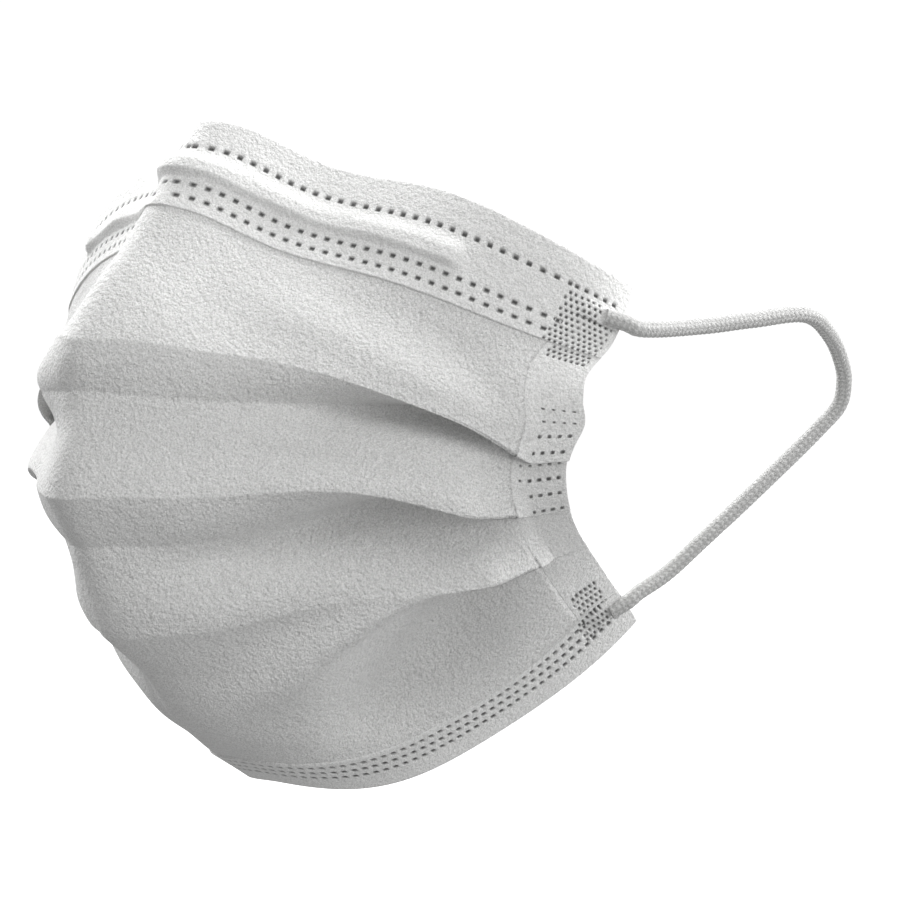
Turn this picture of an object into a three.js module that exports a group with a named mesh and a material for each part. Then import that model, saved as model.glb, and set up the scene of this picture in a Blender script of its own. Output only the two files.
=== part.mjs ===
// Pleated three-layer face mask in the form it takes when worn, in millimetres.
// +Z is up, the front faces -Y and +X is the wearer's left. The origin is on the inner
// face at the middle of the top edge, where the mask rests on the bridge of the nose.
import * as THREE from "three";
import { mergeVertices } from "three/addons/utils/BufferGeometryUtils.js";

// Flat size of the folded mask.
const HALF_WIDTH = 90.0;
const TOP_PLAIN = 33.0;
const PLEAT_DEPTH = 12.0;
const PLEAT_PITCH = 11.5;
const PLEATS = 3;
const BOTTOM_PLAIN = 22.5;
const FLAT_HEIGHT = TOP_PLAIN + PLEATS * PLEAT_PITCH + BOTTOM_PLAIN;
const CLOTH_HEIGHT = FLAT_HEIGHT + 2 * PLEATS * PLEAT_DEPTH;

// Worn size: from the nose bridge down to the chin edge, and forward to the front. The relief is
// the unit of how far folds stand out of the form, sink into it or droop.
const WORN_HEIGHT = 119.0;
const WORN_FRONT = 35.5;
const RELIEF_HEIGHT = 10.0;
const TOP_HOLD = 1.6;

// Walls and gaps.
const WALL = 1.2;
const WELD_WALL = 2.0;
const WELD_WIDTH = 10.0;
const CLOSED_FROM_EDGE = 7.0;
const LAYER_STEP = 1.6;
const FOLD_STEP = 0.9;
const GAP = 0.3;

// Bands and nose wire.
const BAND_WALL = 1.0;
const TOP_BAND = 17.0;
const BOTTOM_BAND = 8.5;
const WIRE_HALF = 58.0;
const WIRE_FROM_EDGE = 7.0;
const WIRE_WIDTH = 3.2;
const WIRE_WALL = 0.8;
const CHANNEL_SIDE_WIDTH = 0.5;
const CHANNEL_FOOT_WIDTH = 0.9;
const BAND_STEP = 2.5;

// Ear loops and their flattened ends.
const CORD_DIAMETER = 2.8;
const CORD_SIDES = 8;
const CORD_STEPS = 44;
const LOOP_REACH = 56.0;
const TAB_LENGTH = 9.0;
const TAB_WIDTH = 4.4;
const TAB_WALL = 0.8;
const TAB_FROM_EDGE = 5.8;

// Form of the worn mask, one row for each level down the folded mask.
// share: of the flat height. front, fall: middle line, as shares of the worn sizes.
// side: fall of the side edge, as a share of the worn height. late: power of that fall.
// sag: droop beside the middle, as a share of the relief.
// reach: length of the half row, as a share of the half width.
// crease, flank, cheek, back: heading away from straight across, in degrees, at the middle,
// at 0.3 and 0.6 of the half row, and at its end. round: share over which the crease rounds.
const FORM_KEYS = [
  "share", "front", "fall", "side", "late", "sag", "reach", "crease", "flank", "cheek", "back", "round",
];
const FORM = [
  [0.00, 0.000, 0.000, 0.243, 1.55, 0.50, 0.960, 56, 26, 10, 84, 0.040],
  [0.14, -0.460, 0.162, 0.325, 1.45, 0.32, 0.968, 50, 34, 24, 62, 0.035],
  [0.24, -0.800, 0.268, 0.366, 1.35, 0.20, 0.985, 46, 41, 32, 50, 0.030],
  [0.31, -0.965, 0.345, 0.398, 1.25, 0.14, 1.010, 46, 43, 36, 48, 0.030],
  [0.40, -0.970, 0.436, 0.432, 1.20, 0.08, 1.010, 42, 42, 38, 50, 0.030],
  [0.50, -0.955, 0.546, 0.482, 1.00, 0.17, 0.980, 34, 40, 43, 50, 0.030],
  [0.60, -0.860, 0.655, 0.538, 0.95, 0.19, 0.970, 27, 40, 48, 52, 0.050],
  [0.72, -0.600, 0.775, 0.598, 1.15, 0.08, 0.950, 22, 43, 52, 60, 0.080],
  [0.86, -0.162, 0.899, 0.676, 1.60, 0.12, 0.930, 18, 48, 58, 66, 0.090],
  [1.00, 0.446, 1.005, 0.765, 1.90, 0.22, 0.865, 16, 56, 60, 62, 0.100],
].map((row) => Object.fromEntries(FORM_KEYS.map((key, i) => [key, row[i]])));
const HEADING_AT = [0.0, 0.3, 0.6, 1.0];

// Pleats from the top down. open: power of the opening from the weld to the middle.
// The rest are shares of the relief. lift: how far the half-open pleat stands off. crest, dip:
// outer fold out of and inner fold into the form at the middle. valley: extra dip of the inner
// fold at the middle line. settle: how far the open pleat sinks down the folded mask.
const PLEAT = [
  { open: 2.8, lift: 0.65, crest: 0.22, dip: 0.20, valley: 0.10, settle: 0.04 },
  { open: 3.0, lift: 0.70, crest: 0.20, dip: 0.20, valley: 0.04, settle: 0.02 },
  { open: 4.2, lift: 0.70, crest: 0.08, dip: 0.10, valley: 0.00, settle: -0.16 },
];

// Left ear loop, from the upper corner to the lower one. back: share of the loop's reach.
// down: share of the way from the upper end to the lower one. out: sideways, mm.
const LOOP = [
  { back: 0.32, down: 0.016, out: 2 },
  { back: 0.53, down: 0.0, out: 3.5 },
  { back: 0.78, down: -0.01, out: 5 },
  { back: 0.9, down: 0.065, out: 5 },
  { back: 0.965, down: 0.16, out: 5 },
  { back: 0.985, down: 0.23, out: 5 },
  { back: 0.965, down: 0.32, out: 5 },
  { back: 0.87, down: 0.405, out: 4.5 },
  { back: 0.6, down: 0.6, out: 3.5 },
  { back: 0.32, down: 0.8, out: 2 },
  { back: 0.165, down: 0.91, out: 1 },
];

// Shares of the half row where the body has its columns.
const COLUMNS = [
  0, 0.02, 0.045, 0.08, 0.13, 0.19, 0.26, 0.33, 0.41, 0.49, 0.57, 0.65, 0.73, 0.81, 0.88, 0.94, 1,
];
const PANEL_STEPS = 5;
const TOP_STEPS = 9;

const smooth = (from, to, x) => {
  const t = Math.min(1, Math.max(0, (x - from) / (to - from)));
  return t * t * (3 - 2 * t);
};

// Smooth curve through one column of a table with shares.
function along(table, key, s) {
  const last = table.length - 1;
  const slope = (i) => {
    const p = Math.max(0, i - 1);
    const n = Math.min(last, i + 1);
    return (table[n][key] - table[p][key]) / (table[n].share - table[p].share);
  };
  let i = 0;
  while (i < last - 1 && s > table[i + 1].share) i++;
  const width = table[i + 1].share - table[i].share;
  const t = (s - table[i].share) / width;
  const a = table[i][key];
  const b = table[i + 1][key];
  const t2 = t * t;
  const t3 = t2 * t;
  return (2 * t3 - 3 * t2 + 1) * a + (t3 - 2 * t2 + t) * width * slope(i)
    + (3 * t2 - 2 * t3) * b + (t3 - t2) * width * slope(i + 1);
}

// Heading of a row at share a, through its four named headings.
function heading(row, a) {
  const values = [row.crease, row.flank, row.cheek, row.back];
  let sum = 0;
  for (let i = 0; i < 4; i++) {
    let part = values[i];
    for (let j = 0; j < 4; j++) {
      if (j !== i) part *= (a - HEADING_AT[j]) / (HEADING_AT[i] - HEADING_AT[j]);
    }
    sum += part;
  }
  return THREE.MathUtils.degToRad(sum * Math.tanh(a / row.round));
}

// Points of the smooth form under the pleats, for the left half.
const DOWN_STEPS = 160;
const ACROSS_STEPS = 120;
const form = [];
for (let i = 0; i <= DOWN_STEPS; i++) {
  const row = {};
  for (const key of Object.keys(FORM[0])) row[key] = along(FORM, key, i / DOWN_STEPS);
  const middle = -WORN_HEIGHT * row.fall;
  const edge = -WORN_HEIGHT * row.side;
  const ease = (a) => Math.hypot(a, 0.05) - 0.05;
  const level = (a) => middle + (edge - middle) * (ease(a) / ease(1)) ** row.late
    - row.sag * RELIEF_HEIGHT * (a / 0.3) ** 2 * Math.exp(1 - (a / 0.3) ** 2);
  const step = (HALF_WIDTH * row.reach) / ACROSS_STEPS;
  const line = [new THREE.Vector3(0, WORN_FRONT * row.front, level(0))];
  for (let j = 1; j <= ACROSS_STEPS; j++) {
    const a = (j - 0.5) / ACROSS_STEPS;
    const turn = heading(row, a);
    const fall = (level(j / ACROSS_STEPS) - level((j - 1) / ACROSS_STEPS)) / step;
    const flat = Math.sqrt(Math.max(0.05, 1 - fall * fall));
    const before = line[j - 1];
    line.push(new THREE.Vector3(
      before.x + step * flat * Math.cos(turn),
      before.y + step * flat * Math.sin(turn),
      level(j / ACROSS_STEPS),
    ));
  }
  form.push(line);
}

function formPoint(s, a) {
  const fs = Math.min(DOWN_STEPS, Math.max(0, s * DOWN_STEPS));
  const fa = Math.min(ACROSS_STEPS, Math.max(0, a * ACROSS_STEPS));
  const i = Math.min(DOWN_STEPS - 1, Math.floor(fs));
  const j = Math.min(ACROSS_STEPS - 1, Math.floor(fa));
  const left = form[i][j].clone().lerp(form[i + 1][j], fs - i);
  const right = form[i][j + 1].clone().lerp(form[i + 1][j + 1], fs - i);
  return left.lerp(right, fa - j);
}

// Point off the form. h is the distance down the folded mask, lift is outward, back is up the cloth.
function place(side, a, h, lift, back = 0) {
  const s = h / FLAT_HEIGHT;
  const point = formPoint(s, a);
  const down = formPoint(s + 0.012, a).sub(formPoint(s - 0.012, a)).normalize();
  const across = formPoint(s, a + 0.012).sub(formPoint(s, a - 0.012)).normalize();
  const out = down.clone().cross(across).normalize();
  if (a === 0) {
    out.x = 0;
    down.x = 0;
    out.normalize();
    down.normalize();
  }
  point.addScaledVector(out, lift).addScaledVector(down, -back);
  point.x *= side;
  return point;
}

// How far pleat k is open at share a: 0 in the side weld, 1 at the middle.
function opening(k, a) {
  const ease = (x) => Math.hypot(x, 0.17) - 0.17;
  const share = Math.min(1, a / (1 - CLOSED_FROM_EDGE / HALF_WIDTH));
  return 1 - (ease(share) / ease(1)) ** PLEAT[k].open;
}

// Outer and inner fold of pleat k at share a, as distance down and height off the form.
function folds(k, a) {
  const open = opening(k, a);
  const outer = TOP_PLAIN + PLEAT_DEPTH + k * PLEAT_PITCH;
  const cloth = TOP_PLAIN + PLEAT_DEPTH + k * (PLEAT_PITCH + 2 * PLEAT_DEPTH);
  const spread = FLAT_HEIGHT / CLOTH_HEIGHT;
  const [lift, crest, dip, valley, settle] = ["lift", "crest", "dip", "valley", "settle"].map(
    (key) => PLEAT[k][key] * RELIEF_HEIGHT,
  );
  const stand = lift * 3.6 * open * (1 - open) * (1 - 0.5 * open);
  const pinch = valley * Math.exp(-((a / 0.11) ** 2));
  const stack = (LAYER_STEP / 2) * (1 - open);
  return {
    outer: {
      h: (1 - open) * outer + open * (cloth * spread + settle),
      w: stack + 0.6 * stand + crest * open * open,
    },
    inner: {
      h: (1 - open) * (outer - PLEAT_DEPTH) + open * ((cloth + PLEAT_DEPTH) * spread + settle),
      w: -stack - 0.4 * stand - dip * open * open - pinch,
    },
  };
}

// Point of panel k at share t of its length. Panel 0 hangs from the top edge, and near that
// edge it spreads evenly from the middle to the side, before the first pleat draws it up.
function panel(k, a, t) {
  const from = k === 0 ? { h: 0, w: 0 } : folds(k - 1, a).inner;
  const to = k === PLEATS ? { h: FLAT_HEIGHT, w: 0 } : folds(k, a).outer;
  let ease = Math.min(1, t);
  let held = 0;
  if (k === 0) {
    const middle = folds(0, 0).outer.h;
    const even = middle + (TOP_PLAIN + PLEAT_DEPTH - middle) * a ** 1.3;
    held = TOP_HOLD * t * (1 - t) * (even - to.h);
    ease = Math.max(0, (t - 0.35) / 0.65) ** 1.6;
  }
  if (k === PLEATS) ease = smooth(0, 0.55, t);
  return { h: from.h + (to.h - from.h) * t + held, w: from.w + (to.w - from.w) * ease };
}

// Rows of the visible side at share a. A fold row is where the wall turns inward.
function visibleRows(a) {
  const rows = [];
  for (let k = 0; k <= PLEATS; k++) {
    const from = k === 0 ? { h: 0 } : folds(k - 1, a).inner;
    const to = k === PLEATS ? { h: FLAT_HEIGHT } : folds(k, a).outer;
    const edge = k === 0 ? 0 : folds(k - 1, a).outer.h + FOLD_STEP;
    const start = Math.max(0, (edge - from.h) / (to.h - from.h));
    const steps = k === 0 || k === PLEATS ? TOP_STEPS : PANEL_STEPS;
    for (let i = 0; i <= steps; i++) {
      const t = start + ((1 - start) * i) / steps;
      const fold = (i === 0 && k > 0) || (i === steps && k < PLEATS);
      rows.push({ ...panel(k, a, t), fold });
    }
  }
  return rows;
}

// Closed shell between two grids of points.
function shell(name, outer, inner, colour, roughness, metalness = 0) {
  const rows = outer.length;
  const columns = outer[0].length;
  const points = [];
  for (const grid of [outer, inner]) {
    for (const row of grid) {
      for (const p of row) points.push(p.x, p.y, p.z);
    }
  }
  const at = (face, i, j) => face * rows * columns + i * columns + j;
  const index = [];
  const quad = (a, b, c, d) => index.push(a, b, c, a, c, d);
  for (let i = 0; i < rows - 1; i++) {
    for (let j = 0; j < columns - 1; j++) {
      quad(at(0, i, j), at(0, i + 1, j), at(0, i + 1, j + 1), at(0, i, j + 1));
      quad(at(1, i, j), at(1, i, j + 1), at(1, i + 1, j + 1), at(1, i + 1, j));
    }
  }
  for (let j = 0; j < columns - 1; j++) {
    quad(at(0, 0, j), at(0, 0, j + 1), at(1, 0, j + 1), at(1, 0, j));
    quad(at(0, rows - 1, j), at(1, rows - 1, j), at(1, rows - 1, j + 1), at(0, rows - 1, j + 1));
  }
  for (let i = 0; i < rows - 1; i++) {
    quad(at(0, i, 0), at(1, i, 0), at(1, i + 1, 0), at(0, i + 1, 0));
    quad(at(0, i, columns - 1), at(0, i + 1, columns - 1), at(1, i + 1, columns - 1), at(1, i, columns - 1));
  }
  const geometry = new THREE.BufferGeometry();
  geometry.setAttribute("position", new THREE.Float32BufferAttribute(points, 3));
  geometry.setIndex(index);
  return finish(name, geometry, colour, roughness, metalness);
}

// Mesh whose faces point outward, whichever way its grid ran.
function finish(name, geometry, colour, roughness, metalness = 0) {
  const position = geometry.attributes.position;
  const index = geometry.index.array;
  const corner = (i) => new THREE.Vector3().fromBufferAttribute(position, index[i]);
  let volume = 0;
  for (let i = 0; i < index.length; i += 3) {
    volume += corner(i).dot(corner(i + 1).cross(corner(i + 2)));
  }
  if (volume < 0) {
    for (let i = 0; i < index.length; i += 3) {
      [index[i + 1], index[i + 2]] = [index[i + 2], index[i + 1]];
    }
  }
  geometry.computeVertexNormals();
  const material = new THREE.MeshStandardMaterial({ color: colour, roughness, metalness });
  const mesh = new THREE.Mesh(geometry, material);
  mesh.name = name;
  return mesh;
}

const bothSides = (shares) => [
  ...shares.slice(1).reverse().map((a) => ({ side: -1, a })),
  ...shares.map((a) => ({ side: 1, a })),
];

// Shell that follows the visible side over the given columns, with its wall inward.
function clothShell(name, columns, wall, colour, roughness) {
  const outer = [];
  const inner = [];
  for (const { side, a } of columns) {
    visibleRows(a).forEach((row, i) => {
      outer[i] = outer[i] || [];
      inner[i] = inner[i] || [];
      outer[i].push(place(side, a, row.h, WALL + row.w));
      inner[i].push(place(side, a, row.h, WALL + row.w - wall, row.fold ? wall : 0));
    });
  }
  return shell(name, outer, inner, colour, roughness);
}

// Distance down the folded mask of a cloth distance v in the top or the bottom panel.
function panelAt(a, v) {
  const topLength = TOP_PLAIN + PLEAT_DEPTH;
  if (v <= topLength) return panel(0, a, v / topLength);
  const bottomLength = PLEAT_PITCH + BOTTOM_PLAIN;
  return panel(PLEATS, a, 1 - (CLOTH_HEIGHT - v) / bottomLength);
}

// Plate laid on the visible side. raise gives its extra height at cloth distance v.
function overlay(name, columns, distances, wall, raise, colour, roughness, metalness = 0) {
  const outer = [];
  const inner = [];
  for (const v of distances) {
    const under = [];
    const over = [];
    for (const { side, a } of columns) {
      const spot = panelAt(a, v);
      const base = WALL + spot.w + GAP + raise(a * HALF_WIDTH, v);
      under.push(place(side, a, spot.h, base));
      over.push(place(side, a, spot.h, base + wall));
    }
    inner.push(under);
    outer.push(over);
  }
  return shell(name, outer, inner, colour, roughness, metalness);
}

const WHITE = 0xe9e9e7;
const BODY_END = 1 - (WELD_WIDTH + GAP) / HALF_WIDTH;
const WELD_START = 1 - WELD_WIDTH / HALF_WIDTH;
const bodyShares = COLUMNS.map((a) => a * BODY_END);
const weldShares = [0, 0.5, 1].map((t) => WELD_START + (1 - WELD_START) * t);

const group = new THREE.Group();

// Pleated body between the side welds, open at the back.
group.add(clothShell("mask_body", bothSides(bodyShares), WALL, WHITE, 0.9));

// Pressed strips where the stacked pleats are welded together.
for (const [name, side] of [["side_weld_left", 1], ["side_weld_right", -1]]) {
  const columns = weldShares.map((a) => ({ side, a }));
  group.add(clothShell(name, columns, WELD_WALL, 0xe4e4e2, 0.85));
}

// Band over the top edge, raised over the nose wire.
const wireEnd = WIRE_HALF / HALF_WIDTH;
const wireLow = WIRE_FROM_EDGE + WIRE_WIDTH;
const bandShares = [...bodyShares, ...weldShares, wireEnd + 0.012, wireEnd + 0.04].sort((a, b) => a - b);
const channel = [WIRE_FROM_EDGE - CHANNEL_SIDE_WIDTH, wireLow + CHANNEL_SIDE_WIDTH];
const channelFoot = [channel[0] - CHANNEL_FOOT_WIDTH, channel[1] + CHANNEL_FOOT_WIDTH];
const bandRows = [
  0, 2 * BAND_STEP, channelFoot[0], channel[0], WIRE_FROM_EDGE + 0.5 * WIRE_WIDTH,
  channel[1], channelFoot[1], TOP_BAND - BAND_STEP, TOP_BAND,
];
const wireHeight = (u, v) => {
  const along = 1 - smooth(wireEnd + 0.012, wireEnd + 0.04, u / HALF_WIDTH);
  const across = smooth(channelFoot[0], channel[0], v) - smooth(channel[1], channelFoot[1], v);
  return (WIRE_WALL + GAP) * along * across;
};
group.add(overlay("top_band", bothSides(bandShares), bandRows, BAND_WALL, wireHeight, 0xeeeeec, 0.9));

// Flat nose wire between the body and the band.
const wireShares = [...bodyShares.filter((a) => a < wireEnd - 0.01), wireEnd];
const wireRows = [WIRE_FROM_EDGE, WIRE_FROM_EDGE + 0.5 * WIRE_WIDTH, wireLow];
group.add(overlay("nose_wire", bothSides(wireShares), wireRows, WIRE_WALL, () => 0, 0xf4f4f2, 0.5));

// Narrow band along the chin edge.
const chinShares = [...bodyShares, ...weldShares].sort((a, b) => a - b);
const chinRows = [1, 0.6, 0.3, 0].map((t) => CLOTH_HEIGHT - BOTTOM_BAND * t);
group.add(overlay("bottom_band", bothSides(chinShares), chinRows, BAND_WALL, () => 0, 0xeeeeec, 0.9));

// Flattened loop ends, welded on the two bands at the corners.
const tabOuter = 1 - (2 * GAP) / HALF_WIDTH;
const tabInner = tabOuter - TAB_LENGTH / HALF_WIDTH;
const tabShares = [tabInner, 0.5 * (tabInner + tabOuter), tabOuter];
const upperTab = [0, 0.5, 1].map((t) => TAB_FROM_EDGE + TAB_WIDTH * t);
const lowerTab = [0, 0.5, 1].map((t) => CLOTH_HEIGHT - BOTTOM_BAND + TAB_WIDTH * t);
const onBand = () => BAND_WALL + GAP;
for (const [name, side] of [["left", 1], ["right", -1]]) {
  const columns = tabShares.map((a) => ({ side, a }));
  group.add(overlay(`loop_end_upper_${name}`, columns, upperTab, TAB_WALL, onBand, 0xf2f2f0, 0.9));
  group.add(overlay(`loop_end_lower_${name}`, columns, lowerTab, TAB_WALL, onBand, 0xf2f2f0, 0.9));
}

// Ear loops: each starts past the side edge beside its flattened ends.
function loopEnd(v, lift) {
  const spot = panelAt(1, v);
  const edge = place(1, 1, spot.h, WALL + spot.w + lift);
  const inside = place(1, 0.97, spot.h, WALL + spot.w + lift);
  const outward = edge.clone().sub(inside).normalize();
  return { point: edge.addScaledVector(outward, GAP), outward };
}

const upperEnd = loopEnd(upperTab[1], BAND_WALL + 2 * GAP + 0.5 * TAB_WALL);
const lowerEnd = loopEnd(lowerTab[1], BAND_WALL + 2 * GAP + 0.5 * TAB_WALL);
const route = [upperEnd.point.clone(), upperEnd.point.clone().addScaledVector(upperEnd.outward, 2)];
for (const row of LOOP) {
  const point = upperEnd.point.clone().lerp(lowerEnd.point, row.down);
  point.x += row.out;
  point.y += row.back * LOOP_REACH;
  route.push(point);
}
route.push(lowerEnd.point.clone().addScaledVector(lowerEnd.outward, 2), lowerEnd.point.clone());

const ring = [];
for (let i = 0; i < CORD_SIDES; i++) {
  const angle = (2 * Math.PI * i) / CORD_SIDES;
  ring.push(new THREE.Vector2(0.5 * CORD_DIAMETER * Math.cos(angle), 0.5 * CORD_DIAMETER * Math.sin(angle)));
}
for (const [name, side] of [["loop_left", 1], ["loop_right", -1]]) {
  const points = route.map((p) => new THREE.Vector3(p.x * side, p.y, p.z));
  const path = new THREE.CatmullRomCurve3(points, false, "centripetal");
  const tube = new THREE.ExtrudeGeometry(new THREE.Shape(ring), {
    steps: CORD_STEPS, bevelEnabled: false, extrudePath: path,
  });
  tube.deleteAttribute("normal");
  tube.deleteAttribute("uv");
  group.add(finish(name, mergeVertices(tube, 1e-4), 0xf2f2f0, 0.9));
}

export default group;
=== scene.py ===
"""A white three-layer pleated face mask in its worn form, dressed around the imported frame."""
import math

import bpy
import numpy as np
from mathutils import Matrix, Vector


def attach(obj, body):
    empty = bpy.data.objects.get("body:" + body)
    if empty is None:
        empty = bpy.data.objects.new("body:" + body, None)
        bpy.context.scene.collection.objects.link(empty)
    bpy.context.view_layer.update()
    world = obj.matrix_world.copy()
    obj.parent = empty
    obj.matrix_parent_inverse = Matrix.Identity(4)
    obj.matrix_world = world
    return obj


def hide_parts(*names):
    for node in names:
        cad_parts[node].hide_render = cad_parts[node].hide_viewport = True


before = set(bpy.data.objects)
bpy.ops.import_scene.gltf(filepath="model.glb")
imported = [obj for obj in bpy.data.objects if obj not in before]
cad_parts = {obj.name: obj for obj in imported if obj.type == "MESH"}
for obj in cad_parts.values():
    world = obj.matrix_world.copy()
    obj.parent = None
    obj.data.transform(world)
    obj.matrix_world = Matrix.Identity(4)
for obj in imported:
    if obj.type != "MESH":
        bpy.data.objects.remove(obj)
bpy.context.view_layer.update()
MM = 0.001


# Camera
# A long lens at the wearer's left front, a little above the middle of the mask, so that the
# far cheek turns away behind the nose ridge as it does in the photograph.
AZIMUTH = math.radians(44.0)
ELEVATION = math.radians(4.0)
DISTANCE = 0.700
PIXELS_PER_METRE = 5500.0
AIM_RIGHT = 0.0432
AIM_UP = -0.0585

back = Vector((
    math.sin(AZIMUTH) * math.cos(ELEVATION),
    -math.cos(AZIMUTH) * math.cos(ELEVATION),
    math.sin(ELEVATION),
))
aim = Vector((math.cos(AZIMUTH) * AIM_RIGHT, math.sin(AZIMUTH) * AIM_RIGHT, AIM_UP))
camera = bpy.data.objects.new("camera", bpy.data.cameras.new("camera"))
bpy.context.scene.collection.objects.link(camera)
camera.location = aim + back * DISTANCE
camera.rotation_euler = back.to_track_quat("Z", "Y").to_euler()
camera.data.sensor_width = 36.0
camera.data.lens = 36.0 * DISTANCE * PIXELS_PER_METRE / 900.0
camera.data.clip_start = 0.01
camera.data.clip_end = 50.0
bpy.context.scene.camera = camera


# Pleated cloth body
# Three layers of white polypropylene nonwoven laid together, folded into three pleats and
# welded at the sides. Worn, the pleats open over the mouth and stay stacked at the sides,
# and the pinch of the nose wire leaves a ridge down the middle of the top panel.

# The mask laid flat, in mm: half its width and, down its height, the plain top, three pleats
# with the cloth folded behind each, and the plain bottom.
HALF_WIDTH = 90.0
TOP_PLAIN = 33.0
PLEAT_DEPTH = 12.0
PLEAT_PITCH = 11.5
PLEATS = 3
BOTTOM_PLAIN = 22.5
FLAT_HEIGHT = TOP_PLAIN + PLEATS * PLEAT_PITCH + BOTTOM_PLAIN
CLOTH_HEIGHT = FLAT_HEIGHT + 2 * PLEATS * PLEAT_DEPTH

# The mask worn, in mm: its height and how far its front stands out, the room that the layers
# take on the form, the width of a side weld, the step of two stacked layers and the cloth itself.
WORN_HEIGHT = 119.0
WORN_FRONT = 35.5
WALL = 1.2
WELD_WIDTH = 10.0
LAYER_STEP = 1.6
CLOTH = 0.45

# Sections across the form. share: share of the flat height. front: place of the middle in shares
# of WORN_FRONT, below zero forward. fall, side: drop of the middle and of the side edge in shares
# of WORN_HEIGHT. late: power, how late it drops. sag: mm. reach: length in half widths. crease to
# back: heading in degrees at the four places of HEADING_AT. round: rounding of the nose ridge.
FORM_COLUMNS = (
    "share", "front", "fall", "side", "late", "sag", "reach", "crease", "flank", "cheek", "back", "round",
)
FORM_ROWS = (
    (0.00, 0.000, 0.000, 0.243, 1.55, 5.0, 0.960, 56, 26, 10, 84, 0.040),
    (0.14, -0.460, 0.162, 0.325, 1.45, 3.2, 0.968, 50, 34, 24, 62, 0.035),
    (0.24, -0.800, 0.268, 0.366, 1.35, 2.0, 0.985, 46, 41, 32, 50, 0.030),
    (0.31, -0.965, 0.345, 0.398, 1.25, 1.4, 1.010, 46, 43, 36, 48, 0.030),
    (0.40, -0.970, 0.436, 0.432, 1.20, 0.8, 1.010, 42, 42, 38, 50, 0.030),
    (0.50, -0.955, 0.546, 0.482, 1.00, 1.7, 0.980, 34, 40, 43, 50, 0.030),
    (0.60, -0.860, 0.655, 0.538, 0.95, 1.9, 0.970, 27, 40, 48, 52, 0.050),
    (0.72, -0.600, 0.775, 0.598, 1.15, 0.8, 0.950, 22, 43, 52, 60, 0.080),
    (0.86, -0.162, 0.899, 0.676, 1.60, 1.2, 0.930, 18, 48, 58, 66, 0.090),
    (1.00, 0.446, 1.005, 0.765, 1.90, 2.2, 0.865, 16, 56, 60, 62, 0.100),
)
HEADING_AT = (0.0, 0.3, 0.6, 1.0)

# How each pleat opens. open: power of its closing towards the side. The rest is in mm. stand:
# lift of the fold half way out. crest, dip: height of its outer and depth of its inner fold in
# the middle. pinch: dent under the nose ridge. settle: how far it slides down when open.
PLEAT_ROWS = (
    (2.8, 6.5, 1.4, 1.4, 3.0, 0.4),
    (3.0, 7.0, 2.0, 2.0, 0.4, 0.2),
    (4.2, 7.0, 0.8, 1.0, 0.0, -1.6),
)
PLEAT_ROUNDING = 0.17
PINCH_SHARE = 0.11
CLOSED = 1.0 - 7.0 / HALF_WIDTH

# The lift half way out: its scale, its lean towards the side, and the shares of it that the
# outer and the inner fold take. The outer fold takes only a share of the pinch.
STAND_SCALE = 3.6
STAND_LEAN = 0.5
STAND_OUTER = 0.6
STAND_INNER = 0.4
PINCH_OUTER = 0.7

# The top panel stays flat for its first part and then bends out to the first pleat, and the
# bottom panel has joined the form half way down.
TOP_HOLD = 1.6
TOP_SPREAD = 1.3
TOP_FLAT = 0.35
TOP_BEND = 1.6
BOTTOM_BEND = 0.55

# Soft folds of the worn cloth, where the panels are pulled towards the corners and the chin.
# across, down: middle of the fold in mm of cloth. turn: direction in degrees from level.
# long, wide: size in mm. rise: height in mm, below zero for a hollow.
FOLD_ROWS = (
    # Panel above the first pleat.
    (58.0, 23.0, 20.0, 30.0, 7.0, -0.9),
    (50.0, 33.0, 14.0, 34.0, 5.0, 0.7),
    (70.0, 29.0, 24.0, 18.0, 4.0, -0.6),
    (30.0, 24.0, 60.0, 24.0, 7.0, 0.4),
    # Crease of the first pleat and the panel under it.
    (56.0, 59.0, 2.0, 36.0, 6.0, -4.4),
    (26.0, 68.0, 6.0, 34.0, 6.0, -0.8),
    (64.0, 79.0, -2.0, 30.0, 7.0, 2.8),
    # Crease of the second pleat, deepest half way to the side.
    (47.0, 99.0, 2.0, 44.0, 8.0, -7.0),
    (64.0, 114.0, -6.0, 30.0, 7.0, 1.6),
    (30.0, 113.0, 0.0, 30.0, 5.0, 0.9),
    # Lower panel, drawn towards the corner.
    (40.0, 126.0, -20.0, 46.0, 5.5, 5.2),
    (48.0, 143.0, -18.0, 40.0, 8.5, -7.6),
    (72.0, 140.0, -22.0, 18.0, 5.0, 1.6),
    (20.0, 147.0, -24.0, 22.0, 5.0, 1.0),
)
# The same for the wearer's right half alone, where the first pleat swells beside the nose
# ridge and the cloth under the chin lies closer in.
FAR_ROWS = (
    (42.0, 6.0, 0.0, 44.0, 22.0, 3.4),
    (20.0, 55.0, 0.0, 26.0, 9.0, 5.0),
    (24.0, 92.0, 0.0, 40.0, 12.0, 1.2),
    (24.0, 128.0, 0.0, 46.0, 20.0, -2.6),
)
FOLD_REACH = 1.6
FOLD_BOW = 2.0

# Where the folds set in and end, in mm: beside the middle, below the top band, beside the side
# weld and above the lower edge.
FAR_FADE = 5.0
BAND_FADE = (16.0, 24.0)
SIDE_FADE = 10.0
CHIN_FADE = (8.0, 15.0)

# A slight unevenness of the cloth below the band: its height in mm, its waves across and down in
# radians per mm, and how its rows bend and lean.
RIPPLE = 0.22
RIPPLE_ACROSS = 0.23
RIPPLE_DOWN = 0.19
RIPPLE_BEND = 1.3
RIPPLE_BEND_DOWN = 0.11
RIPPLE_LEAN = 0.05


def smooth(start, end, x):
    """From 0 at the start to 1 at the end, level at both."""
    t = np.clip((x - start) / (end - start), 0.0, 1.0)
    return t * t * (3.0 - 2.0 * t)


def rounded(share, radius):
    """From 0 to 1 in a straight line that starts level."""
    return (np.hypot(share, radius) - radius) / (math.hypot(1.0, radius) - radius)


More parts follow.
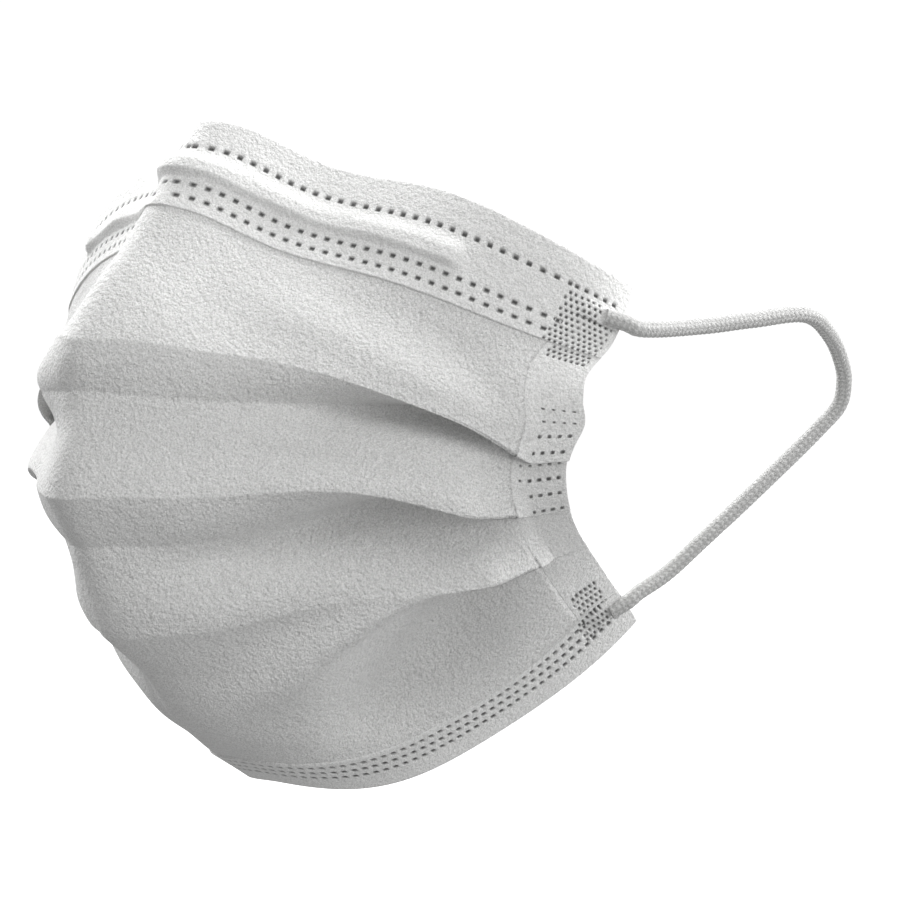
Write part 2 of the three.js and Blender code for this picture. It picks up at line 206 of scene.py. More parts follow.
def along(rows, share):
    """Every column of a table as a smooth curve through its rows, for an array of shares."""
    table = np.array(rows, float)
    at = table[:, 0]
    slope = np.empty_like(table)
    slope[1:-1] = (table[2:] - table[:-2]) / (at[2:] - at[:-2])[:, None]
    slope[0] = (table[1] - table[0]) / (at[1] - at[0])
    slope[-1] = (table[-1] - table[-2]) / (at[-1] - at[-2])
    i = np.clip(np.searchsorted(at, share, side="right") - 1, 0, len(at) - 2)
    width = (at[i + 1] - at[i])[:, None]
    t = ((share - at[i]) / (at[i + 1] - at[i]))[:, None]
    return (
        (2 * t**3 - 3 * t**2 + 1) * table[i]
        + (t**3 - 2 * t**2 + t) * width * slope[i]
        + (3 * t**2 - 2 * t**3) * table[i + 1]
        + (t**3 - t**2) * width * slope[i + 1]
    )


FORM_STEPS = 240
NOSE_ROUNDING = 0.05
SAG_SHARE = 0.3


def worn_form():
    """Points of the smooth form under the pleats, for the left half, in mm. Each row falls from
    the middle to the side edge, and its headings bend it round the nose, cheek and jaw."""
    rows = along(FORM_ROWS, np.linspace(0.0, 1.0, FORM_STEPS + 1))
    row = {name: rows[:, i : i + 1] for i, name in enumerate(FORM_COLUMNS)}
    a = np.linspace(0.0, 1.0, FORM_STEPS + 1)[None, :]
    middle = -WORN_HEIGHT * row["fall"]
    edge = -WORN_HEIGHT * row["side"]
    droop = row["sag"] * (a / SAG_SHARE) ** 2 * np.exp(1.0 - (a / SAG_SHARE) ** 2)
    z = middle + (edge - middle) * rounded(a, NOSE_ROUNDING) ** row["late"] - droop
    step = HALF_WIDTH * row["reach"] / FORM_STEPS
    mid = (a[:, 1:] + a[:, :-1]) / 2
    turn = np.zeros((FORM_STEPS + 1, FORM_STEPS))
    for i, name in enumerate(("crease", "flank", "cheek", "back")):
        part = row[name] * np.ones_like(mid)
        for j, other in enumerate(HEADING_AT):
            if j != i:
                part = part * (mid - other) / (HEADING_AT[i] - other)
        turn += part
    turn = np.radians(turn * np.tanh(mid / row["round"]))
    fall = np.diff(z, axis=1) / step
    flat = step * np.sqrt(np.maximum(0.05, 1.0 - fall**2))
    zero = np.zeros((FORM_STEPS + 1, 1))
    x = np.concatenate([zero, np.cumsum(flat * np.cos(turn), axis=1)], axis=1)
    y = np.concatenate([zero, np.cumsum(flat * np.sin(turn), axis=1)], axis=1)
    return np.stack([x, y + WORN_FRONT * row["front"], z], axis=-1)


FORM = worn_form()
# Share of the form over which its slope is measured.
NEAR = 0.012


def form_point(down, across):
    """Point of the form at shares of its height and half width, between its grid's points."""
    down_at = np.clip(down, 0.0, 1.0) * FORM_STEPS
    across_at = np.clip(across, 0.0, 1.0) * FORM_STEPS
    i = np.minimum(down_at.astype(int), FORM_STEPS - 1)
    j = np.minimum(across_at.astype(int), FORM_STEPS - 1)
    lower = (down_at - i)[..., None]
    outer = (across_at - j)[..., None]
    return (
        FORM[i, j] * (1 - lower) * (1 - outer)
        + FORM[i + 1, j] * lower * (1 - outer)
        + FORM[i, j + 1] * (1 - lower) * outer
        + FORM[i + 1, j + 1] * lower * outer
    )


def off_form(across, flat, lift, up=0.0):
    """Points in mm, lift outward of the form and up the cloth. across is signed, from -1 to 1."""
    a = np.abs(across)
    s = flat / FLAT_HEIGHT
    point = form_point(s, a)
    down = form_point(s + NEAR, a) - form_point(s - NEAR, a)
    down /= np.linalg.norm(down, axis=-1, keepdims=True)
    side = form_point(s, a + NEAR) - form_point(s, a - NEAR)
    out = np.cross(down, side)
    middle = smooth(0.0, NEAR, a)
    out[..., 0] *= middle
    down[..., 0] *= middle
    out /= np.linalg.norm(out, axis=-1, keepdims=True)
    point = point + out * np.asarray(lift)[..., None] - down * np.asarray(up)[..., None]
    point[..., 0] *= np.where(across < 0, -1.0, 1.0)
    return point


def pleat_folds(k, a):
    """Outer and inner fold of pleat k: distance down the folded mask and height off the form."""
    power, stand, crest, dip, pinch, settle = PLEAT_ROWS[k]
    opened = 1.0 - rounded(np.minimum(1.0, a / CLOSED), PLEAT_ROUNDING) ** power
    shut = 1.0 - opened
    shut_at = TOP_PLAIN + PLEAT_DEPTH + k * PLEAT_PITCH
    cloth = TOP_PLAIN + PLEAT_DEPTH + k * (PLEAT_PITCH + 2 * PLEAT_DEPTH)
    spread = FLAT_HEIGHT / CLOTH_HEIGHT
    stand = stand * STAND_SCALE * opened * shut * (1 - STAND_LEAN * opened)
    pinch = pinch * np.exp(-((a / PINCH_SHARE) ** 2))
    stack = LAYER_STEP / 2 * shut
    outer = shut * shut_at + opened * (cloth * spread + settle)
    inner = shut * (shut_at - PLEAT_DEPTH) + opened * ((cloth + PLEAT_DEPTH) * spread + settle)
    return (
        (outer, stack + STAND_OUTER * stand + crest * opened**2 - PINCH_OUTER * pinch),
        (inner, -stack - STAND_INNER * stand - dip * opened**2 - pinch),
    )


def cloth_place(across, v):
    """Where the cloth v mm down its length lies: distance down the folded mask and height off
    the form. One panel runs to each outer fold and the hidden layer from there to the inner one."""
    a = np.abs(across)
    flat = np.zeros_like(a)
    off = np.zeros_like(a)
    start = 0.0
    before = (np.zeros_like(a), np.zeros_like(a))
    for k in range(PLEATS + 1):
        if k < PLEATS:
            outer, inner = pleat_folds(k, a)
            length = TOP_PLAIN + PLEAT_DEPTH if k == 0 else PLEAT_PITCH + PLEAT_DEPTH
        else:
            outer = (np.full_like(a, FLAT_HEIGHT), np.zeros_like(a))
            length = PLEAT_PITCH + BOTTOM_PLAIN
        t = (v - start) / length
        eased = np.clip(t, 0.0, 1.0)
        if k == 0:
            eased = np.clip((t - TOP_FLAT) / (1.0 - TOP_FLAT), 0.0, 1.0) ** TOP_BEND
        if k == PLEATS:
            eased = smooth(0.0, BOTTOM_BEND, t)
        on = (t >= 0) & (t <= 1 + 1e-9)
        here = before[0] + (outer[0] - before[0]) * t
        if k == 0:
            middle = pleat_folds(0, np.zeros_like(a))[0][0]
            even = middle + (TOP_PLAIN + PLEAT_DEPTH - middle) * a**TOP_SPREAD
            here = here + TOP_HOLD * t * (1.0 - t) * (even - outer[0])
        flat = np.where(on, here, flat)
        off = np.where(on, before[1] + (outer[1] - before[1]) * eased, off)
        if k < PLEATS:
            t = (v - start - length) / PLEAT_DEPTH
            on = (t > 0) & (t <= 1)
            flat = np.where(on, outer[0] + (inner[0] - outer[0]) * t, flat)
            off = np.where(on, outer[1] + (inner[1] - outer[1]) * t, off)
            start += length + PLEAT_DEPTH
            before = inner
    return flat, off


def soft_folds(across, v):
    """Height of the soft folds in mm, none of it at the side welds and the lower edge."""
    u = np.abs(across) * HALF_WIDTH
    rise = np.zeros_like(u)
    far = smooth(0.0, FAR_FADE, -np.asarray(across) * HALF_WIDTH)
    panels = smooth(*BAND_FADE, v)
    for rows, where in ((FOLD_ROWS, panels), (FAR_ROWS, far)):
        for across_at, down_at, turn, long, wide, height in rows:
            cosine, sine = math.cos(math.radians(turn)), math.sin(math.radians(turn))
            lengthways = (u - across_at) * cosine + (v - down_at) * sine
            sideways = -(u - across_at) * sine + (v - down_at) * cosine
            bend = sideways - FOLD_BOW * (lengthways / long) ** 2
            fade = np.exp(-((lengthways / long * FOLD_REACH) ** 2) - (bend / wide) ** 2)
            rise += where * height * fade
    bent = RIPPLE_BEND * np.sin(v * RIPPLE_BEND_DOWN)
    ripple = np.sin(u * RIPPLE_ACROSS + bent) * np.sin(v * RIPPLE_DOWN + u * RIPPLE_LEAN)
    rise += RIPPLE * panels * ripple
    edge = smooth(0.0, SIDE_FADE, HALF_WIDTH - WELD_WIDTH - u)
    return rise * edge * smooth(*CHIN_FADE, CLOTH_HEIGHT - v)


def cloth_point(across, v, lift=0.0, up=0.0):
    """Outer face of the cloth in mm, with its pleats and soft folds."""
    flat, off = cloth_place(across, v)
    return off_form(across, flat, WALL + off + soft_folds(across, v) + lift, up)


def grid_mesh(name, points, across, down):
    """Mesh in metres from a grid of points in mm, with its cloth distances kept as attributes."""
    rows, columns = points.shape[:2]
    ids = np.arange(rows * columns).reshape(rows, columns)
    faces = np.stack([ids[:-1, :-1], ids[1:, :-1], ids[1:, 1:], ids[:-1, 1:]], axis=-1).reshape(-1, 4)
    mesh = bpy.data.meshes.new(name)
    mesh.from_pydata((points.reshape(-1, 3) * MM).tolist(), [], faces.tolist())
    for key, values in (("across", across), ("down", down)):
        layer = mesh.attributes.new(key, "FLOAT", "POINT")
        layer.data.foreach_set("value", np.ascontiguousarray(values, dtype=np.float32).ravel())
    mesh.polygons.foreach_set("use_smooth", [True] * len(mesh.polygons))
    obj = bpy.data.objects.new(name, mesh)
    bpy.context.scene.collection.objects.link(obj)
    return obj


def node(tree, kind, *values, named=None, **settings):
    """Adds a node. Settings are its properties. Values go to its sockets in order or by name,
    where a socket is linked and anything else is set."""
    made = tree.nodes.new(kind)
    for key, value in settings.items():
        setattr(made, key, value)
    for key, value in [*enumerate(values), *(named or {}).items()]:
        if isinstance(value, bpy.types.NodeSocket):
            tree.links.new(value, made.inputs[key])
        elif value is not None:
            made.inputs[key].default_value = value
    return made.outputs


def srgb(text):
    """Linear colour from an sRGB hex value."""
    parts = [int(text[i : i + 2], 16) / 255 for i in (1, 3, 5)]
    return tuple(p / 12.92 if p <= 0.04045 else ((p + 0.055) / 1.055) ** 2.4 for p in parts) + (1.0,)


TUFT = 0.3125
CLUMP = 0.6667
CRINKLE = 1.786
BOND_PITCH = 1.5


def nonwoven(name, light, dark, grain, emboss):
    """Spunbond polypropylene: matte, soft fibres laid at random and pressed together by small
    hot points 1.5 mm apart. Its fibres are 0.02 mm thick, which is too fine to show, so they are
    drawn as tufts and clumps of 0.3 and 0.7 mm. Handling leaves a crinkle of about 2 mm."""
    material = bpy.data.materials.new(name)
    material.use_nodes = True
    tree = material.node_tree
    tree.nodes.clear()
    sum_of, times = {"operation": "ADD"}, {"operation": "MULTIPLY"}
    place = node(tree, "ShaderNodeTexCoord")["Object"]
    tufts, clumps, crinkle = (
        node(tree, "ShaderNodeTexNoise", named={
            "Vector": place, "Scale": 1.0 / (size * MM), "Detail": detail, "Roughness": 0.6,
        })["Fac"]
        for size, detail in ((TUFT, 2.0), (CLUMP, 3.0), (CRINKLE, 4.0))
    )
    across, down, pit_film_and_shade = (
        node(tree, "ShaderNodeAttribute", attribute_name=key)["Fac"] for key in ("across", "down", "pit_film_and_shade")
    )
    # The bond points, as two crossed waves.
    waves = []
    for way in ("ADD", "SUBTRACT"):
        line = node(tree, "ShaderNodeMath", across, down, operation=way)[0]
        turned = node(tree, "ShaderNodeMath", line, math.pi / BOND_PITCH, **times)[0]
        wave = node(tree, "ShaderNodeMath", turned, operation="SINE")[0]
        waves.append(node(tree, "ShaderNodeMath", wave, operation="ABSOLUTE")[0])
    bond = node(tree, "ShaderNodeMath", *waves, **times)[0]
    bond = node(tree, "ShaderNodeMath", bond, 2.0, operation="POWER")[0]
    tone = node(tree, "ShaderNodeMapRange", tufts, 0.32, 0.68)[0]
    colour = node(
        tree, "ShaderNodeMix", named={0: tone, 6: srgb(dark), 7: srgb(light)}, data_type="RGBA"
    )[2]
    # The pits are coloured dark grey: partly the denser pressed film, partly painted shade inside the pits.
    pressed = node(
        tree, "ShaderNodeMix", named={0: pit_film_and_shade, 6: colour, 7: srgb("#565655")}, data_type="RGBA"
    )[2]
    fine = node(tree, "ShaderNodeMath", clumps, grain, **times)[0]
    coarse = node(tree, "ShaderNodeMath", crinkle, 0.9 * grain, **times)[0]
    points = node(tree, "ShaderNodeMath", bond, -emboss, **times)[0]
    height = node(tree, "ShaderNodeMath", fine, coarse, **sum_of)[0]
    height = node(tree, "ShaderNodeMath", height, points, **sum_of)[0]
    bump = node(tree, "ShaderNodeBump", named={"Height": height, "Strength": 1.0, "Distance": 0.001})[0]
    shader = node(tree, "ShaderNodeBsdfPrincipled", named={
        "Base Color": pressed, "Normal": bump, "Roughness": 0.88, "IOR": 1.49,
        "Specular IOR Level": 0.3, "Sheen Weight": 0.25, "Sheen Roughness": 0.5,
    })[0]
    node(tree, "ShaderNodeOutputMaterial", shader)
    return material


def wall(obj, thickness):
    """Gives a sheet its real thickness, inwards from its outer face."""
    solid = obj.modifiers.new("thickness", "SOLIDIFY")
    solid.thickness = thickness * MM
    solid.offset = -1.0
    solid.use_even_offset = False


FOLD_ROUNDING = 0.35


def rounded_rows(breaks, step):
    """Cloth distances about step apart, close together beside each fold."""
    rows = []
    for low, high in zip(breaks[:-1], breaks[1:]):
        count = max(2, round((high - low) / step))
        rows.extend(np.linspace(low, high, count + 1)[:-1])
    rows.append(breaks[-1])
    for fold in breaks[1:-1]:
        rows.extend([fold - FOLD_ROUNDING, fold + FOLD_ROUNDING])
    return np.array(sorted(rows))


breaks = [0.0]
for k in range(PLEATS):
    breaks.append(breaks[-1] + (TOP_PLAIN if k == 0 else PLEAT_PITCH) + PLEAT_DEPTH)
    breaks.append(breaks[-1] + PLEAT_DEPTH)
breaks.append(CLOTH_HEIGHT)
body_rows = rounded_rows(breaks, 1.0)
body_end = 1.0 - (WELD_WIDTH + 0.1) / HALF_WIDTH
ridge_end = 0.06
half = np.concatenate([np.linspace(0.0, ridge_end, 8)[:-1], np.linspace(ridge_end, body_end, 72)])
body_columns = np.concatenate([-half[:0:-1], half])
across, down = np.meshgrid(body_columns, body_rows)
mask_cloth = grid_mesh("mask_cloth", cloth_point(across, down), across * HALF_WIDTH, down)
wall(mask_cloth, CLOTH)
cloth_white = nonwoven("spunbond_nonwoven", "#FAFAF9", "#D2D2D1", 0.70, 0.03)
mask_cloth.data.materials.append(cloth_white)
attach(mask_cloth, "root")
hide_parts("mask_body")


# Weld dots
# Every seam of the mask is made by a heated wheel or horn with small teeth, which press the
# layers into rows of shallow hard pits. One node tree presses a grid of such pits into a piece.
def dot_tree():
    tree = bpy.data.node_groups.new("weld_dots", "GeometryNodeTree")
    face = tree.interface
    face.new_socket("Geometry", in_out="INPUT", socket_type="NodeSocketGeometry")
    for key, value in (
        ("Pitch across", 2.6), ("Pitch down", 3.0), ("First across", 0.0), ("Last across", 90.0),
        ("First down", 5.0), ("Last down", 5.0), ("Stagger", 0.0), ("Dot across", 1.0),
        ("Dot down", 0.8), ("Depth", 0.3),
    ):
        face.new_socket(key, in_out="INPUT", socket_type="NodeSocketFloat").default_value = value
    face.new_socket("Material", in_out="INPUT", socket_type="NodeSocketMaterial")
    face.new_socket("Geometry", in_out="OUTPUT", socket_type="NodeSocketGeometry")
    given = node(tree, "NodeGroupInput")
    kind, times, less = "ShaderNodeMath", {"operation": "MULTIPLY"}, {"operation": "SUBTRACT"}

    across = node(tree, "GeometryNodeInputNamedAttribute", "across")[0]
    down = node(tree, "GeometryNodeInputNamedAttribute", "down")[0]
    held = node(tree, "GeometryNodeInputNamedAttribute", "pit_film_and_shade")[0]
    out = node(tree, kind, across, operation="ABSOLUTE")[0]

    # The nearest row of dots, and how far off its middle a point of the cloth lies.
    below = node(tree, kind, down, given["First down"], **less)[0]
    row = node(tree, kind, below, given["Pitch down"], operation="DIVIDE")[0]
    row = node(tree, kind, row, operation="ROUND")[0]
    row_at = node(tree, kind, row, given["Pitch down"], **times)[0]
    off_row = node(tree, kind, below, row_at, **less)[0]

    # The nearest dot of that row, with every next row shifted by a share of the pitch.
    shift = node(tree, kind, row, given["Stagger"], **times)[0]
    along_row = node(tree, kind, out, given["First across"], **less)[0]
    count = node(tree, kind, along_row, given["Pitch across"], operation="DIVIDE")[0]
    count = node(tree, kind, count, shift, **less)[0]
    whole = node(tree, kind, count, operation="ROUND")[0]
    part = node(tree, kind, count, whole, **less)[0]
    off_dot = node(tree, kind, part, given["Pitch across"], **times)[0]

    # The pit itself, 1 in its middle and fading over its rim, and none outside the family.
    mask = node(tree, "ShaderNodeValue")[0]
    mask.default_value = 1.0
    for distance, size in ((off_dot, given["Dot across"]), (off_row, given["Dot down"])):
        size = node(tree, kind, size, 0.5, **times)[0]
        distance = node(tree, kind, distance, operation="ABSOLUTE")[0]
        share = node(tree, kind, distance, size, operation="DIVIDE")[0]
        edge = node(tree, "ShaderNodeMapRange", share, 1.35, 0.75, interpolation_type="SMOOTHSTEP")[0]
        mask = node(tree, kind, mask, edge, **times)[0]
    for value, low, high in ((out, "First across", "Last across"), (down, "First down", "Last down")):
        start = node(tree, kind, given[low], 0.6, **less)[0]
        end = node(tree, kind, given[high], 0.6, operation="ADD")[0]
        for limit, test in ((start, "GREATER_THAN"), (end, "LESS_THAN")):
            inside = node(tree, kind, value, limit, operation=test)[0]
            mask = node(tree, kind, mask, inside, **times)[0]

    normal = node(tree, "GeometryNodeInputNormal")[0]
    depth = node(tree, kind, mask, given["Depth"], **times)[0]
    depth = node(tree, kind, depth, -MM, **times)[0]
    push = node(tree, "ShaderNodeVectorMath", named={0: normal, "Scale": depth}, operation="SCALE")[0]
    pressed = node(tree, "GeometryNodeSetPosition", given["Geometry"], named={"Offset": push})[0]
    # The pits are marked for the material, which colours them dark: partly pressed film, partly painted
    # shade.
    mark = node(tree, kind, held, mask, operation="MAXIMUM")[0]
    kept = node(tree, "GeometryNodeStoreNamedAttribute", pressed, named={"Name": "pit_film_and_shade", "Value": mark})[0]
    real = node(tree, "GeometryNodeRealizeInstances", kept)[0]
    dressed = node(tree, "GeometryNodeSetMaterial", real, named={"Material": given["Material"]})[0]
    node(tree, "NodeGroupOutput", dressed)
    return tree


WELD_DOTS = dot_tree()
WELD_SOCKETS = {
    item.name: item.identifier for item in WELD_DOTS.interface.items_tree if item.in_out == "INPUT"
}


def press_dots(obj, material, **sizes):
    """Adds one family of dots, sizes in mm. Their names are the tree's inputs with underscores."""
    press = obj.modifiers.new("dots", "NODES")
    press.node_group = WELD_DOTS
    press[WELD_SOCKETS["Material"]] = material
    for key, value in sizes.items():
        press[WELD_SOCKETS[key.replace("_", " ").capitalize()]] = float(value)


def plain(obj):
    """Turns the object's modifiers into a plain mesh."""
    graph = bpy.context.evaluated_depsgraph_get()
    mesh = bpy.data.meshes.new_from_object(
        obj.evaluated_get(graph), preserve_all_data_layers=True, depsgraph=graph
    )
    obj.modifiers.clear()
    obj.data = mesh
    mesh.polygons.foreach_set("use_smooth", [True] * len(mesh.polygons))


# The close grid of small teeth that welds the loop ends to the corners, through every layer.
TEETH_FROM = 79.4
TEETH = {"pitch_across": 1.1, "pitch_down": 1.1, "stagger": 0.5, "dot_across": 0.5, "dot_down": 0.6}


# Top band and nose wire
# The inner layer is turned over the top edge to the front and welded down by one row of dots
# near the edge and two below. The flat coated wire lies in the channel between them and shows
# as a swelling with a steep lower side that stops short of the corner.
TOP_BAND = 17.0
WIRE_HALF = 58.0
WIRE_FROM_EDGE = 7.0
WIRE_WIDTH = 3.2
WIRE_RIDGE = 1.35
WIRE_WAVER = 0.25
BAND_OFF = 0.35
HEM_OFF = -CLOTH - 0.35
HEM = 5.0
TUCK = -0.2
EDGE_TUCK = -0.1
BAND_COLUMNS = 330
PIT = 0.29
TOOTH_PIT = 0.28


def wire_ridge(across, v):
    """Height of the channel over the wire in mm, a little uneven along its length. It fades out
    over 3.5 mm at each end, and rises over 3 mm and falls over 1 mm down the cloth."""
    u = np.abs(across) * HALF_WIDTH
    length = 1.0 - smooth(WIRE_HALF - 1.5, WIRE_HALF + 2.0, u)
    top, low = WIRE_FROM_EDGE, WIRE_FROM_EDGE + WIRE_WIDTH
    swell = smooth(top - 1.4, top + 1.6, v) * (1.0 - smooth(low - 0.1, low + 0.9, v))
    waver = WIRE_WAVER * np.sin(u * 0.33 + 0.6) * swell
    return (WIRE_RIDGE + waver) * length * swell


def band_mesh(name, front_rows, hem_rows, top_edge):
    """Band on the front of the cloth that turns over the top or bottom edge to the inside."""
    columns = np.concatenate([np.linspace(0.0, 0.05, 14)[:-1], np.linspace(0.05, 1.0, BAND_COLUMNS)])
    columns = np.concatenate([[-1.0], -columns[:0:-1], columns, [1.0]])
    middle, radius = (BAND_OFF + HEM_OFF) / 2, (BAND_OFF - HEM_OFF) / 2
    turns = np.radians([150, 120, 90, 60, 30])
    edge = front_rows[0] if top_edge else front_rows[-1]
    far = front_rows[-1] if top_edge else front_rows[0]
    rows = [(v, HEM_OFF, 0.0, 2 * edge - v) for v in hem_rows]
    rows += [(edge, middle + radius * math.cos(t), radius * math.sin(t), edge) for t in turns]
    rows += [(v, BAND_OFF, 0.0, v) for v in (front_rows if top_edge else front_rows[::-1])]
    rows.append((far, TUCK, 0.0, far))
    table = np.array(rows)
    if not top_edge:
        table = table[::-1]
        table[:, 2] *= -1.0
    across, v = np.meshgrid(columns, table[:, 0])
    lift, up, down = (np.repeat(table[:, i : i + 1], len(columns), axis=1) for i in (1, 2, 3))
    if top_edge:
        lift = lift + wire_ridge(across, v) * (lift == BAND_OFF)
    lift[:, [0, -1]] = np.minimum(lift[:, [0, -1]], EDGE_TUCK)
    return grid_mesh(name, cloth_point(across, v, lift, up), across * HALF_WIDTH, down)


top_band = band_mesh("top_band_cloth", np.linspace(0.0, TOP_BAND, 62), np.linspace(HEM, 0.0, 5), True)
band_white = nonwoven("spunbond_nonwoven_band", "#FAFAF9", "#DADAD9", 0.50, 0.02)
# One row near the edge, closer together beside the corners, and two rows under the wire.
EDGE_ROW = 5.1
LOWER_ROWS = (12.2, 14.7)
for pitch, first, last, dot_across, dot_down in ((2.7, 0.7, 78.5, 1.05, 0.75), (1.8, 80.2, 88.0, 0.8, 0.7)):
    press_dots(
        top_band, band_white, pitch_across=pitch, first_across=first, last_across=last,
        first_down=EDGE_ROW, last_down=EDGE_ROW, pitch_down=3.0,
        dot_across=dot_across, dot_down=dot_down, depth=PIT,
    )
press_dots(
    top_band, band_white, pitch_across=2.8, first_across=1.2, last_across=79.5,
    first_down=LOWER_ROWS[0], last_down=LOWER_ROWS[1], pitch_down=LOWER_ROWS[1] - LOWER_ROWS[0],
    stagger=0.4, dot_across=1.05, dot_down=0.7, depth=PIT,
)
TOP_TEETH = 6.6
press_dots(
    top_band, band_white, first_across=TEETH_FROM, last_across=88.2,
    first_down=TOP_TEETH, last_down=TOP_BAND - 0.4, depth=TOOTH_PIT, **TEETH,
)
plain(top_band)
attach(top_band, "root")
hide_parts("top_band", "nose_wire")


# Chin band
# The lower edge is turned and welded in a narrow band with three rows of small slits near its
# inner edge, and a plain margin below them.
BOTTOM_BAND = 8.5

chin_top = CLOTH_HEIGHT - BOTTOM_BAND
chin_hem = np.linspace(CLOTH_HEIGHT - HEM, CLOTH_HEIGHT, 5)
chin_band = band_mesh("chin_band_cloth", np.linspace(chin_top, CLOTH_HEIGHT, 42), chin_hem, False)
press_dots(
    chin_band, band_white, pitch_across=2.1, first_across=0.5, last_across=86.5,
    first_down=chin_top + 1.2, last_down=chin_top + 4.6, pitch_down=1.7,
    stagger=0.5, dot_across=0.95, dot_down=0.5, depth=PIT,
)
chin_teeth = chin_top + 0.6
press_dots(
    chin_band, band_white, first_across=TEETH_FROM, last_across=86.5,
    first_down=chin_teeth, last_down=chin_teeth + 3.4, depth=TOOTH_PIT, **TEETH,
)
plain(chin_band)
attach(chin_band, "root")
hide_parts("bottom_band")


# Side welds
# The stacked pleats are pressed together in a strip 10 mm wide along each side, with rows of
# small dots over the layers and plain flattened cloth, smoother than the rest, above and below.
STRIP = 0.6
STRIP_PITCH = 1.75
STRIP_PIT = 0.1

# first across, first down, last down, pitch down. The weld goes through every layer, so each
# block comes again on the layer that is folded back under its crest.
STRIP_BLOCKS = (
    (83.0, 32.4, 42.6, 3.4),
    (83.0, 47.4, 50.8, 3.4),
    (81.6, 70.0, 79.3, 3.1),
    (83.35, 81.7, 91.0, 3.1),
)
# first across, last across, first down, last down of the teeth that reach past the bands.
STRIP_TEETH = (
    (81.6, 88.2, 17.6, 19.8),
    (81.5, 86.5, 150.0, 153.0),
)

pressed_white = nonwoven("spunbond_nonwoven_pressed", "#FBFBFA", "#D9D9D8", 0.50, 0.02)
for side_name, side in (("left", 1.0), ("right", -1.0)):
    columns = np.linspace(body_end, 1.0, 46) * side
    rows = rounded_rows(breaks, 0.25)
    across, down = np.meshgrid(columns, rows)
    points = cloth_point(across, down)
    if side < 0:
        points, across, down = points[:, ::-1], across[:, ::-1], down[:, ::-1]
    strip = grid_mesh(f"side_weld_cloth_{side_name}", points, across * HALF_WIDTH, down)
    for first_across, first_down, last_down, pitch_down in STRIP_BLOCKS:
        press_dots(
            strip, pressed_white, pitch_across=STRIP_PITCH, first_across=first_across, last_across=88.4,
            pitch_down=pitch_down, first_down=first_down, last_down=last_down,
            dot_across=0.55, dot_down=0.45, depth=STRIP_PIT,
        )
    for first_across, last_across, first_down, last_down in STRIP_TEETH:
        press_dots(
            strip, pressed_white, first_across=first_across, last_across=last_across,
            first_down=first_down, last_down=last_down, depth=TOOTH_PIT, **TEETH,
        )
    plain(strip)
    wall(strip, STRIP)
    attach(strip, "root")
    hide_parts(f"side_weld_{side_name}")


# Ear loops
# Knitted elastic cord, 2.8 mm thick and about 135 mm long on each side, with 4 mm of that in
# each welded end. The ends are pressed flat on the outside of the corners, and the cord stands
# back in a loop as an ear pulls it.
CORD = 2.8
CORD_LIFT = WALL + 2.0
END_GAP = 0.3
END_STRAIGHT = 2.0
END_RUN = 4.0
END_SINK = 0.9
LOOP_REACH = 56.0
TAB_WIDTH = 4.4
TAB_FROM_EDGE = 5.8
LOOP_ROWS = (
    # back: share of the reach. down: share of the way from end to end. out: mm from the face.
    (0.32, 0.016, 2.0),
    (0.53, 0.0, 3.5),
    (0.78, -0.01, 5.0),
    (0.90, 0.065, 5.0),
    (0.965, 0.16, 5.0),
    (0.985, 0.23, 5.0),
    (0.965, 0.32, 5.0),
    (0.87, 0.405, 4.5),
    (0.60, 0.60, 3.5),
    (0.32, 0.80, 2.0),
    (0.165, 0.91, 1.0),
)


def loop_end(v):
    """Where the cord leaves the side edge, which way, and which way is off the cloth, in mm."""
    edge_and_inside = np.array([1.0, 0.97])
    flat, off = cloth_place(edge_and_inside, np.full(2, v))
    edge, inside = off_form(edge_and_inside, flat, off + CORD_LIFT)
    outward = (edge - inside) / np.linalg.norm(edge - inside)
    rise = edge - off_form(edge_and_inside, flat, off)[0]
    return edge + outward * END_GAP, outward, rise / np.linalg.norm(rise)


def blend(t, start, end, first, second):
    """Straight mix of two points, the first at the start and the second at the end."""
    share = (t - start) / (end - start)
    return (1.0 - share) * first + share * second


def smooth_path(points, count):
    """Centripetal curve through the points, as many points at equal lengths, and its length."""
    p = np.array(points)
    p = np.concatenate([[2 * p[0] - p[1]], p, [2 * p[-1] - p[-2]]])
    line = []
    for i in range(1, len(p) - 2):
        knots = [0.0]
        for j in range(3):
            knots.append(knots[-1] + np.linalg.norm(p[i + j] - p[i + j - 1]) ** 0.5)
        t = np.linspace(knots[1], knots[2], 30, endpoint=False)[:, None]
        pair = [blend(t, knots[j], knots[j + 1], p[i + j - 1], p[i + j]) for j in range(3)]
        pair = [blend(t, knots[j], knots[j + 2], pair[j], pair[j + 1]) for j in range(2)]
        line.append(blend(t, knots[1], knots[2], pair[0], pair[1]))
    line = np.concatenate(line + [p[-2][None]])
    run = np.concatenate([[0.0], np.cumsum(np.linalg.norm(np.diff(line, axis=0), axis=1))])
    even = np.linspace(0.0, run[-1], count)
    return np.stack([np.interp(even, run, line[:, i]) for i in range(3)], axis=1), run[-1]


YARN = 0.385


